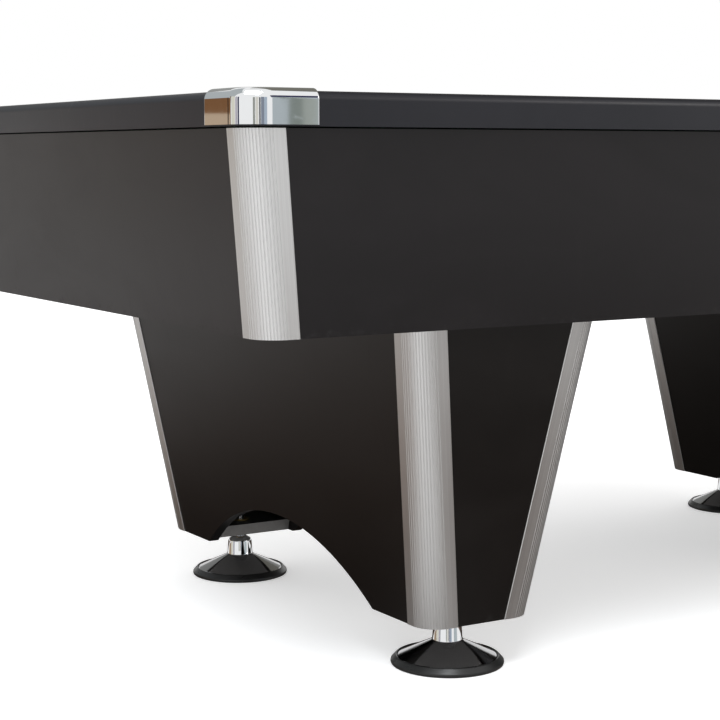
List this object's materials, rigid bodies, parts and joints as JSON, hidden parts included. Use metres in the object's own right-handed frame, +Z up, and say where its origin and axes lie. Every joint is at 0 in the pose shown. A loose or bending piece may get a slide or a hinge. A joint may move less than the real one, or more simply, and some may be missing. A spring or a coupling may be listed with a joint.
{
  "type": "pool table",
  "caption": "Pool table: slate bed, cushioned rails with chrome corners, leaning black cabinet with fluted aluminium edges, arched pedestals and screw feet.",
  "frame": {"origin": "on the floor, under the middle of the table", "axes": "+X along the table's length, towards the end with the ball window; +Y across its width; +Z up"},
  "size_m": [2.176, 1.261, 0.8435],
  "materials": {
    "cabinet_board": "black laminate on board, fine satin grain",
    "leg_board": "black laminate on board, fine satin grain",
    "rail_board": "black wrap on solid rail, satin",
    "cushion": "rubber cushion under green wool cloth",
    "bed_cloth": "green wool baize",
    "slate": "honed grey slate",
    "chrome": "polished plate on casting",
    "foot_chrome": "polished plate on turned steel",
    "fluted_aluminium": "satin anodised, fluted",
    "foot_gloss_black": "glossy black",
    "foot_rubber": "semi-matte black rubber",
    "pocket_liner": "moulded black plastic",
    "fastener_steel": "zinc plated",
    "insert_brass": "turned",
    "frame_timber": "planed softwood",
    "inner_board": "dark foil on board",
    "ball_run_plastic": "vacuum formed grey plastic",
    "tray_liner": "moulded, felt lined",
    "window_frame": "satin anodised"
  },
  "bodies": {
    "root": {"apron_back": "cabinet_board", "apron_front": "cabinet_board", "apron_left": "cabinet_board", "apron_right": "cabinet_board", "apron_trim_back_left": "fluted_aluminium", "apron_trim_back_right": "fluted_aluminium", "apron_trim_front_left": "fluted_aluminium", "apron_trim_front_right": "fluted_aluminium", "ball_runs": "ball_run_plastic", "ball_tray": "tray_liner", "ball_window_frame": "window_frame", "base_board": "inner_board", "bed_cloth": "bed_cloth", "corner_cap_back_left": "chrome", "corner_cap_back_right": "chrome", "corner_cap_front_left": "chrome", "corner_cap_front_right": "chrome", "cross_beams": "frame_timber", "cushion_back_left": "cushion", "cushion_back_right": "cushion", "cushion_front_left": "cushion", "cushion_front_right": "cushion", "cushion_left": "cushion", "cushion_right": "cushion", "foot_boards": "inner_board", "foot_inserts": "insert_brass", "leg_left_back_panel": "leg_board", "leg_left_front_panel": "leg_board", "leg_left_inner_panel": "leg_board", "leg_left_outer_panel": "leg_board", "leg_left_trims": "fluted_aluminium", "leg_right_back_panel": "leg_board", "leg_right_front_panel": "leg_board", "leg_right_inner_panel": "leg_board", "leg_right_outer_panel": "leg_board", "leg_right_trims": "fluted_aluminium", "leg_screws": "fastener_steel", "leg_top_boards": "inner_board", "pocket_liners": "pocket_liner", "rail_back": "rail_board", "rail_bolts": "fastener_steel", "rail_front": "rail_board", "rail_left": "rail_board", "rail_right": "rail_board", "side_cap_back": "chrome", "side_cap_front": "chrome", "slate_bed": "slate", "slate_ledges": "frame_timber"},
    "foot_front_left_base": {"foot_front_left_disc": "foot_gloss_black", "foot_front_left_pad": "foot_rubber"},
    "foot_front_left_stem": {"foot_front_left_stem": "foot_chrome"},
    "foot_front_right_base": {"foot_front_right_disc": "foot_gloss_black", "foot_front_right_pad": "foot_rubber"},
    "foot_front_right_stem": {"foot_front_right_stem": "foot_chrome"},
    "foot_back_left_base": {"foot_back_left_disc": "foot_gloss_black", "foot_back_left_pad": "foot_rubber"},
    "foot_back_left_stem": {"foot_back_left_stem": "foot_chrome"},
    "foot_back_right_base": {"foot_back_right_disc": "foot_gloss_black", "foot_back_right_pad": "foot_rubber"},
    "foot_back_right_stem": {"foot_back_right_stem": "foot_chrome"}
  },
  "joints": [
    {"name": "foot_front_left_height", "type": "slide", "parent": "root", "child": "foot_front_left_base", "axis": [0, 0, -1], "range_m": [0, 0.02]},
    {"name": "foot_front_left_turn", "type": "hinge", "parent": "foot_front_left_base", "child": "foot_front_left_stem", "pos_m": [-0.598, -0.341, 0.05], "axis": [0, 0, -1], "range_deg": [0, 3600.1]},
    {"name": "foot_front_right_height", "type": "slide", "parent": "root", "child": "foot_front_right_base", "axis": [0, 0, -1], "range_m": [0, 0.02]},
    {"name": "foot_front_right_turn", "type": "hinge", "parent": "foot_front_right_base", "child": "foot_front_right_stem", "pos_m": [0.598, -0.341, 0.05], "axis": [0, 0, -1], "range_deg": [0, 3600.1]},
    {"name": "foot_back_left_height", "type": "slide", "parent": "root", "child": "foot_back_left_base", "axis": [0, 0, -1], "range_m": [0, 0.02]},
    {"name": "foot_back_left_turn", "type": "hinge", "parent": "foot_back_left_base", "child": "foot_back_left_stem", "pos_m": [-0.598, 0.341, 0.05], "axis": [0, 0, -1], "range_deg": [0, 3600.1]},
    {"name": "foot_back_right_height", "type": "slide", "parent": "root", "child": "foot_back_right_base", "axis": [0, 0, -1], "range_m": [0, 0.02]},
    {"name": "foot_back_right_turn", "type": "hinge", "parent": "foot_back_right_base", "child": "foot_back_right_stem", "pos_m": [0.598, 0.341, 0.05], "axis": [0, 0, -1], "range_deg": [0, 3600.1]}
  ],
  "couplings": [
    {"joint": "foot_front_left_turn", "follows": "foot_front_left_height", "rad_per_m": 3141.6},
    {"joint": "foot_front_right_turn", "follows": "foot_front_right_height", "rad_per_m": 3141.6},
    {"joint": "foot_back_left_turn", "follows": "foot_back_left_height", "rad_per_m": 3141.6},
    {"joint": "foot_back_right_turn", "follows": "foot_back_right_height", "rad_per_m": 3141.6}
  ]
}
